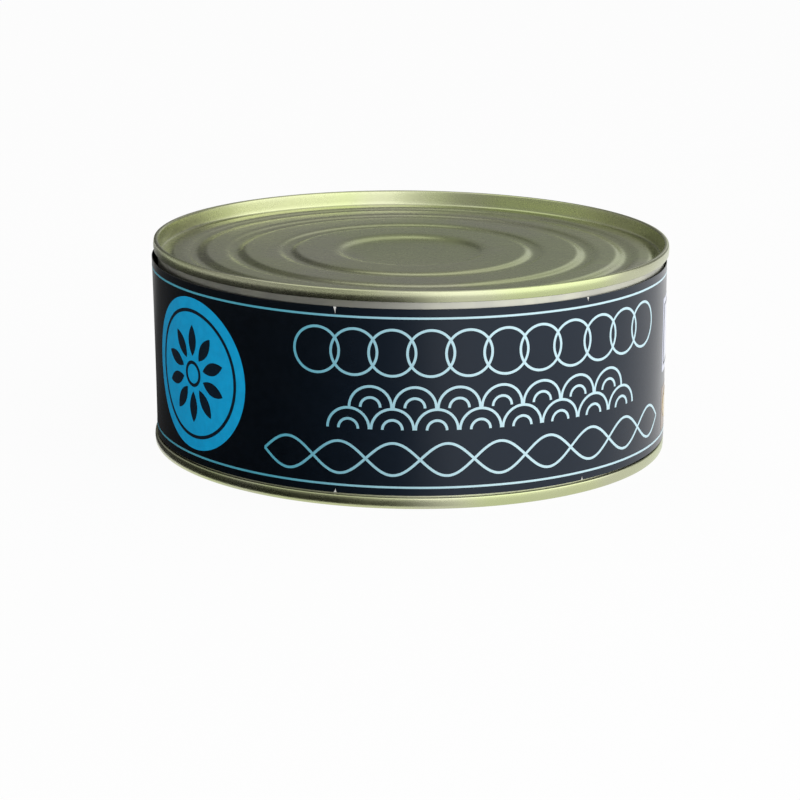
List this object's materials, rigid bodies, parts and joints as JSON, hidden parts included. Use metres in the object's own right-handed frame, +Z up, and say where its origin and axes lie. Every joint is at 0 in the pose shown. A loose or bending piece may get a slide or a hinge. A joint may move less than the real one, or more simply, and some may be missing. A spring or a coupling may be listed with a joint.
{
  "type": "tuna can",
  "caption": "Large round sealed fish tin with ringed ends, double seams and a dark paper label round its wall; shut food store.",
  "frame": {"origin": "on the axis, at the plane that the lower seam's crown stands on", "axes": "+Z up along the tin's axis; -Y is the front of the label, where the main print is; the label's lap is at the back"},
  "size_m": [0.157, 0.157, 0.0631],
  "materials": {
    "gold_lacquer": "gold-olive lacquered tinplate, satin to gloss",
    "tinplate": "bare tinplate, semi-bright",
    "label_paper": "glossy near-black printed paper with light blue print"
  },
  "bodies": {
    "root": {"can_body": "tinplate", "top_end": "gold_lacquer", "bottom_end": "gold_lacquer", "label": "label_paper"}
  },
  "joints": []
}
